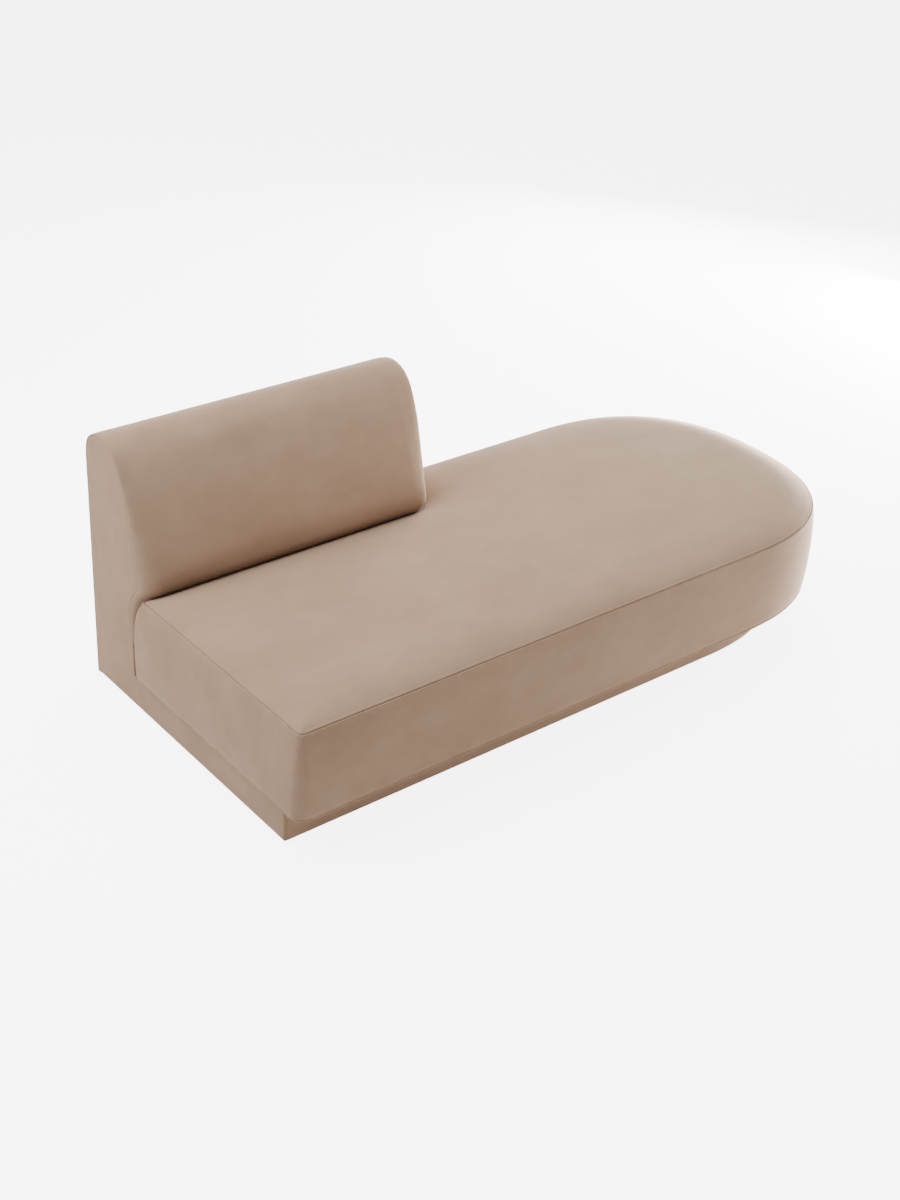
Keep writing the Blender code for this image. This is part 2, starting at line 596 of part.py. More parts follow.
def back_cover():
    """One fabric panel that rises from the tuck, passes over the ridge and hangs down to the plinth's foot."""
    start = SEAM_Z - 0.060
    rings = []
    for x in back_stations(0.0):
        outer, inner = back_section(x, 0.0, start), back_section(x, FABRIC, start)
        foot = PLINTH_COVER_Z
        outer = outer + [(x, outer[-1][1], foot)]
        inner = inner + [(x, inner[-1][1], foot)]
        rings.append(outer + inner[::-1])
    loft('back_cover', rings, 'velvet')


def plinth_cover():
    """Fabric band round the plinth, turned under its rails."""
    outer, inner = plinth_path(0.0), plinth_path(FABRIC)
    top = PLINTH_TOP_Z
    rows = [flat(outer, top), flat(outer, PLINTH_COVER_Z), flat(inner, PLINTH_COVER_Z), flat(inner, top)]
    bm = bmesh.new()
    rows = [[bm.verts.new(point) for point in row] for row in rows]
    for first, second in zip(rows, rows[1:] + rows[:1]):
        bridge(bm, first, second, closed=False)
    for end in (0, -1):
        bm.faces.new([row[end] for row in rows])
    make_object('plinth_cover', bm, 'velvet')


def make_materials():
    """Colour, roughness and metallic value of each material."""
    looks = {'velvet': ((0.47, 0.36, 0.28), 0.85, 0), 'foam': ((0.85, 0.82, 0.68), 0.95, 0),
             'fibre': ((0.90, 0.90, 0.88), 0.95, 0), 'felt': ((0.42, 0.42, 0.43), 0.95, 0),
             'webbing': ((0.09, 0.09, 0.10), 0.80, 0), 'plywood': ((0.62, 0.45, 0.27), 0.60, 0),
             'softwood': ((0.74, 0.57, 0.36), 0.65, 0), 'hardwood': ((0.55, 0.38, 0.22), 0.55, 0),
             'hardboard': ((0.36, 0.24, 0.15), 0.55, 0), 'cambric': ((0.03, 0.03, 0.03), 0.90, 0),
             'nylon': ((0.05, 0.05, 0.05), 0.45, 0), 'steel': ((0.60, 0.60, 0.58), 0.35, 1)}
    made = {}
    for name, (colour, roughness, metallic) in looks.items():
        paint = bpy.data.materials.new(name)
        paint.use_nodes = True
        shader = paint.node_tree.nodes['Principled BSDF']
        shader.inputs['Base Color'].default_value = (*colour, 1)
        shader.inputs['Roughness'].default_value = roughness
        shader.inputs['Metallic'].default_value = metallic
        made[name] = paint
    return made


for old in list(bpy.data.objects):
    bpy.data.objects.remove(old)
MATERIALS = make_materials()
RIBS = shell_ribs()
FRONT, FAR, END_X = plinth_rails()
dust_cover()
glides_and_blocks(RIBS, FRONT, FAR, END_X)
plinth_cover()
seat_base_board()
seat_rails()
seat_webbing()
seat_padding()
seat_covers()
seat_screws(RIBS, END_X)
back_boards(RIBS)
back_foam(RIBS)
back_wadding(RIBS)
end_panels()
back_cover()
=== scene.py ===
"""Looks for the upholstered daybed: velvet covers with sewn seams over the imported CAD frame."""

import json
import math

import bmesh
import bpy
import numpy as np
from mathutils import Matrix, Vector
from mathutils.geometry import delaunay_2d_cdt


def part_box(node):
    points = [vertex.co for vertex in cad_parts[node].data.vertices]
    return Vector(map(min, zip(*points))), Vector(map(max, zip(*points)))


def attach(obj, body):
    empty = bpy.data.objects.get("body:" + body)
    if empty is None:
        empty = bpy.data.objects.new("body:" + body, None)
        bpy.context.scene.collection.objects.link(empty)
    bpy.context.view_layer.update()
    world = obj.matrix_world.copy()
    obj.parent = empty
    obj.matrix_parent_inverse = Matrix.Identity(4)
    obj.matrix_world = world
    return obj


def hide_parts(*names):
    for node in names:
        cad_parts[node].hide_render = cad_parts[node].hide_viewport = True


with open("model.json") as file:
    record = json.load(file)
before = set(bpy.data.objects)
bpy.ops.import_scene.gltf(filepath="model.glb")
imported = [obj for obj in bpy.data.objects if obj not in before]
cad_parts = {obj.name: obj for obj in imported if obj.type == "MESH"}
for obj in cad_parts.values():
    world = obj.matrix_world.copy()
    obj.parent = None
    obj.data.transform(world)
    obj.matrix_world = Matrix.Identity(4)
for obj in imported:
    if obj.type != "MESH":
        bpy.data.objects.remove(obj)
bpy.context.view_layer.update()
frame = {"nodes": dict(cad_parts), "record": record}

# ---- Places, read from the CAD, in metres ----
SIDE_LOW, SIDE_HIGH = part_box("seat_side_cover")
BACK_LOW, BACK_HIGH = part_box("back_cover")
PLINTH_LOW, PLINTH_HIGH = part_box("plinth_cover")
LEFT, RIGHT, REAR, RIDGE = BACK_LOW.x, BACK_HIGH.x, BACK_HIGH.y, BACK_HIGH.z
LIP_Z = SIDE_LOW.z
CROWN_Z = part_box("seat_top_cover")[1].z

CLOTH_FRAMES = 20
CLOTH_OUT = 0.0030  # how far the cloth may stand out from the padding's own shape
CLOTH_IN = 0.0010  # how far it may sink in, which stays within the fabric's thickness
CLOTH_RELAX = 30  # rounds of relaxing, which leave the broad folds and lose ripples as small as the mesh
CLOTH_PRESSURE = 1.5
CLOTH_STRETCH = 12  # stiffness against stretching and against squeezing
CLOTH_SHEAR = 4
CLOTH_BEND = 2.5
DOME = 0.0010  # how far an end panel stands out at its middle
PLINTH_GAP = 0.0022  # between the seat and the top of the plinth's end panel
THREAD = (0.0042, 0.0034, 0.00032)  # a stitch's pitch, its length and its radius

# ---- Shape of the covers, as in the CAD ----
CROWN = 0.021
SEAM_Z = CROWN_Z - CROWN
SEAM_INSET = 0.013
CROWN_REACH = 0.160  # the top panel is flat this far in from its seam
END_LENGTH = 0.525
END_POWER = 2.4
SEAT_CORNER = 0.030
LIP_CORNER = 0.044
REAR_CORNER = 0.020  # the seat's corner against the backrest's left end
NOTCH_CORNER = 0.040
NOTCH_WIDER = 0.024
CREVICE = 0.0015
BACK_FOOT = 0.223
SEAT_REAR = REAR - BACK_FOOT - CREVICE
NOTCH_X = RIGHT + CREVICE
PLINTH_CORNER = 0.010
PLINTH_END_LENGTH = 0.500
END_ROUND = {"left": (0.050, 0.012, 0.040, 0.003), "right": (0.064, 0.046, 0.046, 0.010)}
RISE = RIDGE - SEAM_Z

WALL = [(0.0, 0.0060), (0.020, 0.0046), (0.095, 0.0020), (0.265, 0.0002), (0.455, 0.0), (0.675, 0.0015),
        (0.85, 0.0055), (0.945, 0.0092), (0.975, 0.0104)]
CONTACT = [(0.0, 0.0), (0.470, 0.0), (0.726, 0.007), (0.893, 0.023), (1.0, 0.0465)]
PROFILE = [(0.0, SEAM_Z - 0.160), (0.0, SEAM_Z - 0.140), (0.007, SEAM_Z - 0.072), (0.023, SEAM_Z - 0.028),
           (0.047, SEAM_Z + 0.001), (0.068, SEAM_Z + 0.073 * RISE), (0.058, SEAM_Z + 0.207 * RISE),
           (0.030, SEAM_Z + 0.415 * RISE), (-0.008, SEAM_Z + 0.659 * RISE), (-0.052, RIDGE - 0.056),
           (-0.092, RIDGE - 0.016), (-0.138, RIDGE), (0.040 - BACK_FOOT, RIDGE - 0.010),
           (0.010 - BACK_FOOT, RIDGE - 0.038), (-BACK_FOOT, RIDGE - 0.085), (-BACK_FOOT, RIDGE - 0.160)]


# ---- Light ----
SKY = 0.145
BACKDROP = 7.0  # the sky, as the camera sees it
GLOW = 6.0  # what the floor gives off, as the camera sees it
LAMPS = [
    ("overhead", (0.3, 0.8, 3.4), (0.1, 0.0, 0.3), (3.0, 3.0), 104, (1, 1, 1)),
    ("over_rear", (0.2, 2.4, 2.8), (0.0, 0.0, 0.3), (3.0, 2.0), 11, (1, 1, 1)),
    ("over_left", (-2.6, 0.7, 2.6), (0.0, 0.0, 0.3), (2.4, 2.4), 130, (1, 1, 1)),
    ("right_low", (3.5, 0.0, 0.21), (0.8, 0.0, 0.21), (2.4, 0.38), 390, (1.0, 0.97, 0.94)),
    ("right_rear", (3.2, 2.0, 1.4), (0.6, 0.0, 0.2), (2.4, 1.8), 230, (1, 1, 1)),
    ("front_low", (1.3, -3.6, 0.21), (0.3, 0.0, 0.21), (3.0, 0.38), 63, (1.0, 0.94, 0.89)),
]


# ---- Curves ----
def smooth_table(table, at, steps=24):
    """A smooth curve through (at, value) pairs, evaluated at the array at."""
    dense = catmull(np.array(table, float), steps)
    return np.interp(at, dense[:, 0], dense[:, 1])


def catmull(points, steps):
    """A smooth curve through the points."""
    ends = np.concatenate([points[:1], points, points[-1:]])
    p0, p1, p2, p3 = (ends[i:len(points) - 1 + i, None] for i in range(4))
    t = (np.arange(steps) / steps)[None, :, None]
    made = 0.5 * (2 * p1 + (p2 - p0) * t + (2 * p0 - 5 * p1 + 4 * p2 - p3) * t**2
                  + (3 * p1 - 3 * p2 + p3 - p0) * t**3)
    return np.concatenate([made.reshape(-1, points.shape[1]), points[-1:]])


def spread(curve, count, closed=False):
    """count points spaced evenly along a polyline. A closed one leaves out its last point."""
    length = np.concatenate([[0], np.cumsum(np.linalg.norm(np.diff(curve, axis=0), axis=1))])
    at = np.linspace(0, length[-1], count + (1 if closed else 0))[:count]
    return np.stack([np.interp(at, length, curve[:, i]) for i in range(curve.shape[1])], 1)


def arc(cx, cy, radius, start, end, count):
    """count points on an arc, without its last point."""
    a = np.radians(np.linspace(start, end, count + 1)[:-1])
    return np.stack([cx + radius * np.cos(a), cy + radius * np.sin(a)], 1)


def line(start, end, count):
    t = np.linspace(0, 1, count + 1)[:-1, None]
    return np.array(start) * (1 - t) + np.array(end) * t


def end_curve(centre_x, mid_y, length, half_width, count):
    """The rounded end, evenly spaced, without its last point."""
    a = np.linspace(-math.pi / 2, math.pi / 2, 721)
    c, s = np.clip(np.cos(a), 0, 1), np.sin(a)
    x = centre_x + length * c ** (2 / END_POWER)
    y = mid_y + np.sign(s) * half_width * np.abs(s) ** (2 / END_POWER)
    return spread(np.stack([x, y], 1), count, closed=True)


def seat_outline(inset, rear_inset, rounding=SEAT_CORNER):
    """Plan of the seat, anticlockwise from the front left corner, always with the same number of points."""
    left, front, far = SIDE_LOW.x + inset, SIDE_LOW.y + inset, SIDE_HIGH.y - inset
    rear, notch, centre = SEAT_REAR - rear_inset, NOTCH_X + inset, SIDE_HIGH.x - END_LENGTH
    r = max(rounding - inset, 0.004)
    b = max(REAR_CORNER - inset, 0.004)
    q = max(NOTCH_CORNER - inset, 0.004)
    n = NOTCH_CORNER + inset
    wide = n + NOTCH_WIDER  # the inner corner follows the backrest's rounded end
    mid, half = (SIDE_LOW.y + SIDE_HIGH.y) / 2, (SIDE_HIGH.y - SIDE_LOW.y) / 2 - inset
    return np.concatenate([
        arc(left + r, front + r, r, 180, 270, 10),
        line((left + r, front), (centre, front), 150),
        end_curve(centre, mid, END_LENGTH - inset, half, 180),
        line((centre, far), (notch + q, far), 56),
        arc(notch + q, far - q, q, 90, 180, 10),
        line((notch, far - q), (notch, rear + n), 12),
        arc(0, rear + n, n, 0, -90, 14) * (wide / n, 1) + (notch - wide, 0),
        line((notch - wide, rear), (left + b, rear), 86),
        arc(left + b, rear - b, b, 90, 180, 10),
        line((left, rear - b), (left, front + r), 72)])


def crown_height(inside):
    """Height of the top panel above its seam, at a distance inside the seam."""
    return CROWN * (1 - (1 - np.clip(inside / CROWN_REACH, 0, 1)) ** 4)


def end_turn(x):
    """How far the backrest turns in at x: its face below the seat, its face above it, and its ridge."""
    side = "left" if x < (LEFT + RIGHT) / 2 else "right"
    distance = x - LEFT if side == "left" else RIGHT - x
    length, low, turn, top = END_ROUND[side]
    share = min(1.0, max(0.0, distance / length))
    bend = 1 - math.sqrt(max(0.0, 1 - (1 - share) ** 2))
    return low * bend, turn * bend, top * bend


BASE_CURVE = catmull(np.array([(REAR - BACK_FOOT - d, z) for d, z in PROFILE]), 24)
BASE_CURVE = spread(BASE_CURVE, 200)
RIDGE_AT = int(np.argmax(BASE_CURVE[:, 1]))


def back_curve(low=0.0, turn=0.0, top=0.0, more=0.0):
    """The backrest's section in (y, z), turned back at its face and lowered at its ridge, then moved in."""
    along = np.gradient(BASE_CURVE, axis=0)
    along /= np.linalg.norm(along, axis=1)[:, None]
    out = np.stack([-along[:, 1], along[:, 0]], 1)
    z = BASE_CURVE[:, 1]
    back = np.interp(z, [SEAM_Z - 0.140, SEAM_Z, SEAM_Z + 0.220 * RISE, SEAM_Z + 0.659 * RISE, RIDGE],
                     [low, turn, turn, turn * 0.35, 0.0])
    back[RIDGE_AT:] = 0.0
    made = BASE_CURVE - out * (more + top * out[:, 1:] ** 2)
    made[:, 0] += back
    return made


# ---- Meshes ----
def mesh_object(name, points, faces, paint, smooth=True):
    mesh = bpy.data.meshes.new(name)
    mesh.from_pydata([tuple(p) for p in np.asarray(points, float)], [], [tuple(int(i) for i in f) for f in faces])
    mesh.validate()
    made = bpy.data.objects.new(name, mesh)
    bpy.context.scene.collection.objects.link(made)
    mesh.materials.append(PAINTS[paint])
    if smooth:
        mesh.shade_smooth()
    face_outwards(mesh)
    return made


def face_outwards(mesh):
    """Flips a mesh whose faces, taken together, look towards its middle."""
    middle = sum((face.center for face in mesh.polygons), Vector()) / len(mesh.polygons)
    if sum(face.area * face.normal.dot(face.center - middle) for face in mesh.polygons) < 0:
        mesh.flip_normals()


def grid_faces(rows, columns, closed, start=0):
    """Quads of a grid of points numbered row by row from start."""
    i = np.arange(rows - 1)[:, None] * columns
    j = np.arange(columns if closed else columns - 1)[None, :]
    k = (j + 1) % columns
    faces = np.stack([i + j, i + k, i + columns + k, i + columns + j], -1).reshape(-1, 4)
    return (faces + start).tolist()


def lift(outline, z):
    return np.column_stack([outline, np.full(len(outline), z)])


def fill(outline, spacing):
    """Triangles inside a closed outline: (points, faces, how many of the points are the outline's)."""
    low, high = outline.min(0), outline.max(0)
    rows = np.arange(low[1] + spacing / 2, high[1], spacing * 0.87)
    grid = np.array([(x + (spacing / 2 if i % 2 else 0), y) for i, y in enumerate(rows)
                     for x in np.arange(low[0], high[0], spacing)])
    grid = grid[inside(grid, outline) & (distance_to(grid, outline) > spacing * 0.6)]
    points = np.concatenate([outline, grid])
    count = len(outline)
    edges = [(i, (i + 1) % count) for i in range(count)]
    made = delaunay_2d_cdt([Vector(p) for p in points], edges, [list(range(count))], 1, 1e-7)
    return np.array([tuple(p) for p in made[0]]), [tuple(f) for f in made[2]], count


def inside(points, outline):
    """Whether each point is inside the outline."""
    nxt = np.roll(outline, -1, axis=0)
    crossings = np.zeros(len(points), int)
    for (x0, y0), (x1, y1) in zip(outline, nxt):
        if y0 != y1:
            spans = (points[:, 1] > min(y0, y1)) & (points[:, 1] <= max(y0, y1))
            crossings += spans & (points[:, 0] < x0 + (points[:, 1] - y0) * (x1 - x0) / (y1 - y0))
    return crossings % 2 == 1


def distance_to(points, outline):
    """Distance from each point to the nearest stretch of the closed outline."""
    best = np.full(len(points), 9.0)
    for start, end in zip(outline, np.roll(outline, -1, axis=0)):
        along = end - start
        length = along @ along
        if length > 0:
            t = np.clip((points - start) @ along / length, 0, 1)[:, None]
            best = np.minimum(best, np.linalg.norm(points - start - t * along, axis=1))
    return best


def put_points(mesh, points):
    mesh.vertices.foreach_set("co", np.asarray(points, np.float32).ravel())
    mesh.update()


def points_of(mesh):
    points = np.empty(len(mesh.vertices) * 3, np.float32)
    mesh.vertices.foreach_get("co", points)
    return points.reshape(-1, 3).astype(float)


def relaxed(mesh, values):
    """Values at the mesh's points, evened out along its edges."""
    ends = np.empty(len(mesh.edges) * 2, np.int32)
    mesh.edges.foreach_get("vertices", ends)
    first, second = ends.reshape(-1, 2).T
    count = len(values)
    near = np.maximum(np.bincount(first, minlength=count) + np.bincount(second, minlength=count), 1)
    for _ in range(CLOTH_RELAX):
        total = np.bincount(first, values[second], count) + np.bincount(second, values[first], count)
        values = (values + total / near) / 2
    return values


def ease(share):
    share = np.clip(share, 0, 1)
    return share * share * (3 - 2 * share)


def puff(piece, free):
    """Blows a cover out as cloth, held at its seams, where free is 0. It only moves along its normals."""
    mesh = piece.data
    start = points_of(mesh)
    normals = np.empty(len(start) * 3, np.float32)
    mesh.vertices.foreach_get("normal", normals)
    normals = normals.reshape(-1, 3).astype(float)
    held = piece.vertex_groups.new(name="held")
    for index in np.nonzero(free <= 0)[0]:
        held.add([int(index)], 1.0, "REPLACE")
    cloth = piece.modifiers.new("cloth", "CLOTH")
    cloth.settings.quality = 4
    cloth.settings.mass = 0.3
    cloth.settings.tension_stiffness = CLOTH_STRETCH
    cloth.settings.compression_stiffness = CLOTH_STRETCH
    cloth.settings.shear_stiffness = CLOTH_SHEAR
    cloth.settings.bending_stiffness = CLOTH_BEND
    cloth.settings.use_pressure = True
    cloth.settings.uniform_pressure_force = CLOTH_PRESSURE
    cloth.settings.vertex_group_mass = "held"
    cloth.settings.shrink_min = -0.002
    cloth.settings.effector_weights.gravity = 0
    cloth.collision_settings.use_collision = False
    cloth.collision_settings.use_self_collision = False
    scene = bpy.context.scene
    for step in range(1, CLOTH_FRAMES + 1):
        scene.frame_set(step)
    blown = piece.evaluated_get(bpy.context.evaluated_depsgraph_get())
    moved = points_of(blown.to_mesh()) - start
    blown.to_mesh_clear()
    piece.modifiers.remove(cloth)
    piece.vertex_groups.remove(held)
    scene.frame_set(1)
    out = (moved * normals).sum(1)
    limit = np.where(out > 0, CLOTH_OUT, CLOTH_IN)
    out = relaxed(mesh, limit * np.tanh(out / limit)) * free
    put_points(mesh, start + normals * out[:, None])


# ---- Materials ----
class Paint:
    """A procedural material, with short names for the nodes that it is built from."""

    def __init__(self, name, roughness, metallic=0.0):
        self.material = bpy.data.materials.new(name)
        self.material.use_nodes = True
        self.tree = self.material.node_tree
        self.shader = self.tree.nodes["Principled BSDF"]
        self.shader.inputs["Roughness"].default_value = roughness
        self.shader.inputs["Metallic"].default_value = metallic
        self.place = self.tree.nodes.new("ShaderNodeTexCoord").outputs["Object"]

    def node(self, kind, **values):
        made = self.tree.nodes.new("ShaderNode" + kind)
        for key, value in values.items():
            if key in made.inputs:
                made.inputs[key].default_value = value
            else:
                setattr(made, key, value)
        return made

    def link(self, source, target):
        self.tree.links.new(source, target)

    def stretched(self, scale, turn=(0, 0, 0)):
        made = self.node("Mapping", Scale=scale, Rotation=turn)
        self.link(self.place, made.inputs["Vector"])
        return made.outputs["Vector"]

    def noise(self, scale, detail=3.0, place=None, roughness=0.5):
        made = self.node("TexNoise", Scale=scale, Detail=detail, Roughness=roughness)
        self.link(place or self.place, made.inputs["Vector"])
        return made.outputs["Fac"]

    def ramp(self, source, stops):
        made = self.node("ValToRGB")
        ramp = made.color_ramp
        while len(ramp.elements) < len(stops):
            ramp.elements.new(0.5)
        for element, (at, colour) in zip(ramp.elements, stops):
            element.position = at
            element.color = (*colour, 1) if len(colour) == 3 else colour
        self.link(source, made.inputs["Fac"])
        return made.outputs["Color"]

    def mix(self, share, first, second, blend="MIX"):
        made = self.node("Mix", data_type="RGBA", blend_type=blend)
        if isinstance(share, float):
            made.inputs["Factor"].default_value = share
        else:
            self.link(share, made.inputs["Factor"])
        for socket, value in (("A", first), ("B", second)):
            target = [s for s in made.inputs if s.name == socket and s.type == "RGBA"][0]
            if isinstance(value, tuple):
                target.default_value = (*value, 1)
            else:
                self.link(value, target)
        return [s for s in made.outputs if s.type == "RGBA"][0]

    def bump(self, height, strength, distance, normal=None):
        made = self.node("Bump", Strength=strength, Distance=distance)
        self.link(height, made.inputs["Height"])
        if normal is not None:
            self.link(normal, made.inputs["Normal"])
        return made.outputs["Normal"]

    def colour(self, source):
        self.link(source, self.shader.inputs["Base Color"])

    def rough(self, source, low, high):
        made = self.node("MapRange")
        made.inputs["To Min"].default_value = low
        made.inputs["To Max"].default_value = high
        self.link(source, made.inputs["Value"])
        self.link(made.outputs["Result"], self.shader.inputs["Roughness"])

    def normal(self, source):
        self.link(source, self.shader.inputs["Normal"])


def velvet(name, turn):
    """Short-pile velvet. The nap lies in soft brushed patches, and the pile stands in fine rows."""
    paint = Paint(name, 0.9)
    brushed = paint.stretched((1.0, 1.5, 1.2), turn)
    patches = paint.noise(5.0, 5.0, brushed, 0.5)
    smudges = paint.noise(17.0, 2.0, brushed, 0.45)
    pile = paint.noise(750.0, 2.0)
    base = paint.ramp(patches, [(0.30, VELVET_DARK), (0.50, VELVET_MID), (0.72, VELVET_LIGHT)])
    smudged = paint.ramp(smudges, [(0.38, (0.55, 0.50, 0.48)), (0.60, (1.0, 1.0, 1.0))])
    base = paint.mix(0.07, base, smudged, "MULTIPLY")
    shaded = paint.ramp(pile, [(0.30, (0.45, 0.40, 0.36)), (0.70, (1.0, 1.0, 1.0))])
    base = paint.mix(0.14, base, shaded, "MULTIPLY")
    paint.colour(base)
    paint.rough(patches, 0.84, 0.96)
    paint.normal(paint.bump(pile, 0.20, 0.0006, paint.bump(smudges, 0.06, 0.003)))
    paint.shader.inputs["Sheen Weight"].default_value = 0.85
    paint.shader.inputs["Sheen Roughness"].default_value = 0.32
    paint.shader.inputs["Sheen Tint"].default_value = (1.0, 0.80, 0.66, 1)
    paint.shader.inputs["Specular IOR Level"].default_value = 0.12
    return paint.material


def thread(name):
    """Twisted polyester sewing thread."""
    paint = Paint(name, 0.55)
    twist = paint.noise(2500.0, 1.0)
    paint.colour(paint.ramp(twist, [(0.3, (0.30, 0.22, 0.17)), (0.7, (0.46, 0.36, 0.29))]))
    return paint.material


def wood(name, dark, light, rings, roughness):
    """Sawn or planed timber with grain along its length."""
    paint = Paint(name, roughness)
    place = paint.stretched((1.0, rings, rings))
    grain = paint.noise(9.0, 6.0, place, 0.6)
    pores = paint.noise(160.0, 2.0, paint.stretched((0.12, 1.0, 1.0)))
    base = paint.ramp(grain, [(0.32, dark), (0.68, light)])
    paint.colour(paint.mix(0.18, base, paint.ramp(pores, [(0.4, (0.4, 0.3, 0.2)), (0.6, (1, 1, 1))]), "MULTIPLY"))
    paint.rough(grain, roughness - 0.08, roughness + 0.08)
    paint.normal(paint.bump(pores, 0.15, 0.0006))
    return paint.material


def plywood(name):
    """Birch plywood: a pale face, with its plies showing as bands through the thickness."""
    paint = Paint(name, 0.62)
    grain = paint.noise(7.0, 5.0, paint.stretched((1.0, 9.0, 9.0)), 0.6)
    plies = paint.node("TexWave", wave_type="BANDS", bands_direction="DIAGONAL", Scale=95.0, Distortion=0.6)
    paint.link(paint.place, plies.inputs["Vector"])
    base = paint.ramp(grain, [(0.35, (0.58, 0.41, 0.24)), (0.66, (0.72, 0.55, 0.36))])
    paint.colour(paint.mix(0.12, base, paint.ramp(plies.outputs["Fac"], [(0.4, (0.5, 0.38, 0.25)), (0.6, (1, 1, 1))]),
                           "MULTIPLY"))
    paint.normal(paint.bump(grain, 0.08, 0.001))
    return paint.material


def porous(name, dark, light, scale, roughness=0.95, strength=0.5):
    """Foam, fibre or felt: a pale body broken by fine cells or fibres."""
    paint = Paint(name, roughness)
    cells = paint.node("TexVoronoi", Scale=scale)
    paint.link(paint.place, cells.inputs["Vector"])
    cloud = paint.noise(scale / 40, 3.0)
    paint.colour(paint.mix(0.25, paint.ramp(cloud, [(0.35, dark), (0.65, light)]),
                           paint.ramp(cells.outputs["Distance"], [(0.1, dark), (0.6, light)])))
    paint.normal(paint.bump(cells.outputs["Distance"], strength, 0.0008))
    return paint.material


def woven(name, dark, light, scale, roughness=0.8):
    """Plain weave, or a non-woven sheet with a pressed pattern of fine dots."""
    paint = Paint(name, roughness)
    across = paint.node("TexWave", wave_type="BANDS", bands_direction="X", Scale=scale, Distortion=0.4)
    along = paint.node("TexWave", wave_type="BANDS", bands_direction="Y", Scale=scale, Distortion=0.4)
    for wave in (across, along):
        paint.link(paint.place, wave.inputs["Vector"])
    both = paint.node("Math", operation="MULTIPLY")
    paint.link(across.outputs["Fac"], both.inputs[0])
    paint.link(along.outputs["Fac"], both.inputs[1])
    paint.colour(paint.mix(paint.noise(30.0), paint.ramp(both.outputs[0], [(0.2, dark), (0.8, light)]), light))
    paint.normal(paint.bump(both.outputs[0], 0.5, 0.0006))
    return paint.material


def moulded(name, dark, light):
    """Moulded nylon with a fine spark-eroded skin."""
    paint = Paint(name, 0.5)
    skin = paint.noise(700.0, 2.0)
    cloud = paint.noise(25.0, 2.0)
    paint.colour(paint.ramp(cloud, [(0.3, dark), (0.7, light)]))
    paint.rough(skin, 0.42, 0.58)
    paint.normal(paint.bump(skin, 0.2, 0.0003))
    return paint.material


def metal(name, dark, light):
    """Zinc-plated steel with faint rolling marks."""
    paint = Paint(name, 0.35, 1.0)
    marks = paint.noise(120.0, 3.0, paint.stretched((1.0, 8.0, 1.0)))
    paint.colour(paint.ramp(marks, [(0.3, dark), (0.7, light)]))
    paint.rough(marks, 0.28, 0.45)
    return paint.material


VELVET_DARK = (0.352, 0.234, 0.158)
VELVET_MID = (0.375, 0.251, 0.171)
VELVET_LIGHT = (0.396, 0.268, 0.185)

PAINTS = {
    "velvet": velvet("velvet", (0, 0, 0.35)),
    "velvet_side": velvet("velvet_side", (0.2, 0.5, 0.0)),
    "thread": thread("thread"),
    "foam": porous("foam", (0.78, 0.72, 0.52), (0.90, 0.86, 0.70), 900.0),
    "fibre": porous("fibre", (0.80, 0.80, 0.78), (0.95, 0.95, 0.93), 350.0),
    "felt": porous("felt", (0.28, 0.28, 0.29), (0.50, 0.50, 0.50), 700.0),
    "webbing": woven("webbing", (0.03, 0.03, 0.035), (0.13, 0.13, 0.14), 90.0),
    "cambric": woven("cambric", (0.012, 0.012, 0.013), (0.040, 0.040, 0.042), 220.0, 0.9),
    "plywood": plywood("plywood"),
    "softwood": wood("softwood", (0.62, 0.44, 0.24), (0.82, 0.66, 0.44), 12.0, 0.65),
    "hardwood": wood("hardwood", (0.42, 0.27, 0.15), (0.62, 0.44, 0.28), 16.0, 0.55),
    "hardboard": porous("hardboard", (0.24, 0.15, 0.09), (0.42, 0.29, 0.18), 500.0, 0.55, 0.2),
    "nylon": moulded("nylon", (0.020, 0.020, 0.020), (0.045, 0.045, 0.045)),
    "steel": metal("steel", (0.52, 0.52, 0.50), (0.70, 0.70, 0.68)),
}


def paint_frame():
    """Gives each CAD node that stays in the model the detailed material of its own slot."""
    for entry in frame["record"]["subparts"]:
        for slot in frame["nodes"][entry["node"]].material_slots:
            slot.material = PAINTS[entry["material_slot"]]


# ---- Seat ----
def wall_insets(share):
    return smooth_table(WALL, np.asarray(share, float))


def seat_wall_rings():
    """(height, inset, inset at the rear) of each ring: under the seat, round the lip, up the wall, into the seam."""
    height = SEAM_Z - LIP_Z
    rings = [(LIP_Z + 0.0021, 0.100), (LIP_Z + 0.0021, 0.060), (LIP_Z + 0.0021, 0.028), (LIP_Z + 0.0019, 0.0150),
             (LIP_Z + 0.0012, 0.0110), (LIP_Z + 0.0002, 0.0088), (LIP_Z, 0.0074), (LIP_Z + 0.0003, 0.0060),
             (LIP_Z + 0.0012, 0.0044), (LIP_Z + 0.0025, 0.0036), (LIP_Z + 0.0040, 0.0038), (LIP_Z + 0.0054, 0.0050),
             (LIP_Z + 0.0068, 0.0060), (LIP_Z + 0.0085, 0.0060)]
    rings = [(z, inset, inset) for z, inset in rings]
    for share in np.linspace(0.055, 0.965, 30):
        rings.append((LIP_Z + share * height, float(wall_insets(share)), 0.0))
    top = [(0.0078, 0.0100), (0.0056, 0.0102), (0.0036, 0.0106), (0.0020, 0.0116), (0.0012, 0.0130),
           (0.0014, 0.0144), (0.0026, 0.0153), (0.0046, 0.0157)]
    return rings + [(SEAM_Z - drop, inset, inset - SEAM_INSET) for drop, inset in top]


def seat_ring(z, inset, extra):
    share = (z - LIP_Z) / (SEAM_Z - LIP_Z)
    contact = float(smooth_table(CONTACT, share))
    rounding = float(np.interp(z, [LIP_Z, LIP_Z + 0.120], [LIP_CORNER, SEAT_CORNER]))
    return lift(seat_outline(inset, contact + extra, rounding), z)


